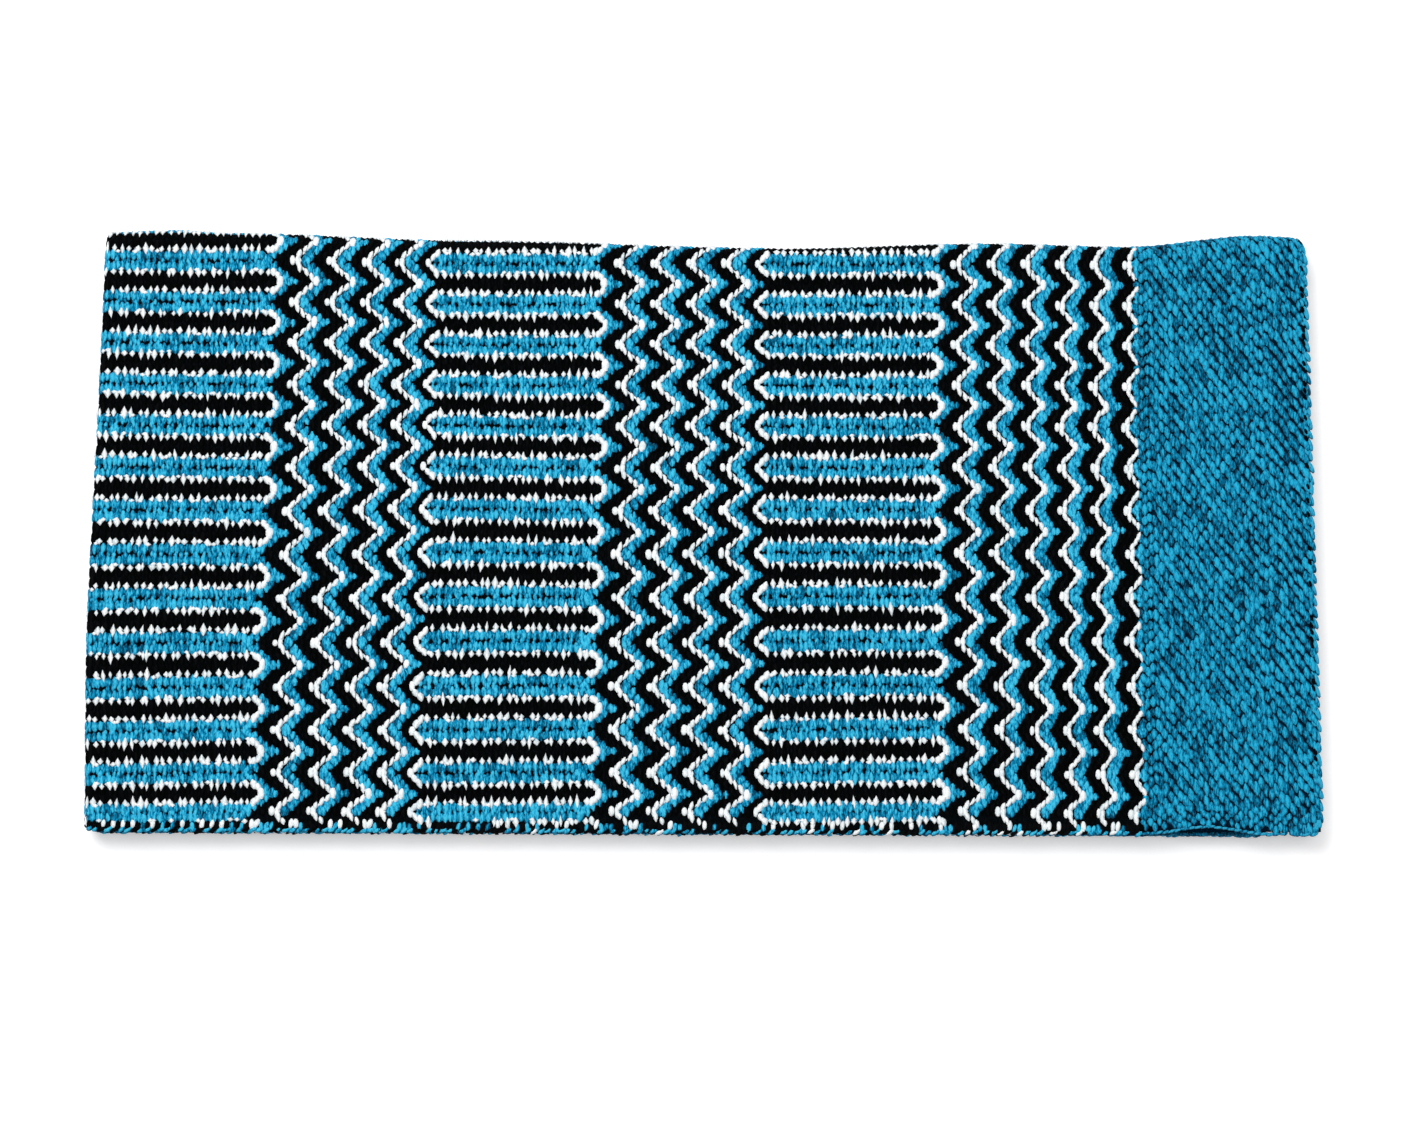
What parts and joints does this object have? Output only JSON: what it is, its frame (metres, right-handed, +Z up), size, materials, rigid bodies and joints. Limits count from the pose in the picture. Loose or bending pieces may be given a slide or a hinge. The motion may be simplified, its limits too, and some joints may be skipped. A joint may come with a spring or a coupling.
{
  "type": "saddle blanket",
  "caption": "Thick woven saddle blanket folded in half twice, with stripes, zigzags, plain end bands and corded edges, that opens along its far fold.",
  "frame": {"origin": "centre of the folded pack's underside, on the surface it lies on", "axes": "+X along the pack's long side to the blanket's ends, +Y to the far fold, +Z up"},
  "size_m": [0.8321, 0.414, 0.0263],
  "materials": {
    "patterned_weave": "matt woven wool in black, white and turquoise",
    "turquoise_weave": "matt woven wool",
    "turquoise_cord": "matt twisted wool",
    "mottled_selvedge": "matt twisted wool, mottled"
  },
  "bodies": {
    "lower_half": {"base_patterned_panel": "patterned_weave", "base_end_band": "turquoise_weave", "base_end_hem": "turquoise_weave", "base_looped_end_cord": "turquoise_cord", "base_selvedge_cord": "mottled_selvedge", "base_corner_knot": "turquoise_cord", "second_patterned_panel": "patterned_weave", "second_end_band": "turquoise_weave", "second_end_hem": "turquoise_weave", "second_looped_end_cord": "turquoise_cord", "second_selvedge_cord": "mottled_selvedge", "second_corner_knot": "turquoise_cord", "length_fold_lower": "patterned_weave", "width_fold_inner": "patterned_weave", "width_fold_outer": "patterned_weave", "far_left_knuckle": "patterned_weave"},
    "upper_half": {"third_patterned_panel": "patterned_weave", "third_end_band": "turquoise_weave", "third_end_hem": "turquoise_weave", "third_looped_end_cord": "turquoise_cord", "third_selvedge_cord": "mottled_selvedge", "third_corner_knot": "turquoise_cord", "top_patterned_panel": "patterned_weave", "top_end_band": "turquoise_weave", "top_end_hem": "turquoise_weave", "top_looped_end_cord": "turquoise_cord", "top_selvedge_cord": "mottled_selvedge", "top_corner_knot": "turquoise_cord", "length_fold_upper": "patterned_weave"}
  },
  "joints": [
    {"name": "width_fold_hinge", "type": "hinge", "parent": "lower_half", "child": "upper_half", "pos_m": [0, 0.20155, 0.01245], "axis": [-1, 0, 0], "range_deg": [0, 180], "deforming": ["width_fold_inner", "width_fold_outer", "far_left_knuckle"]}
  ]
}
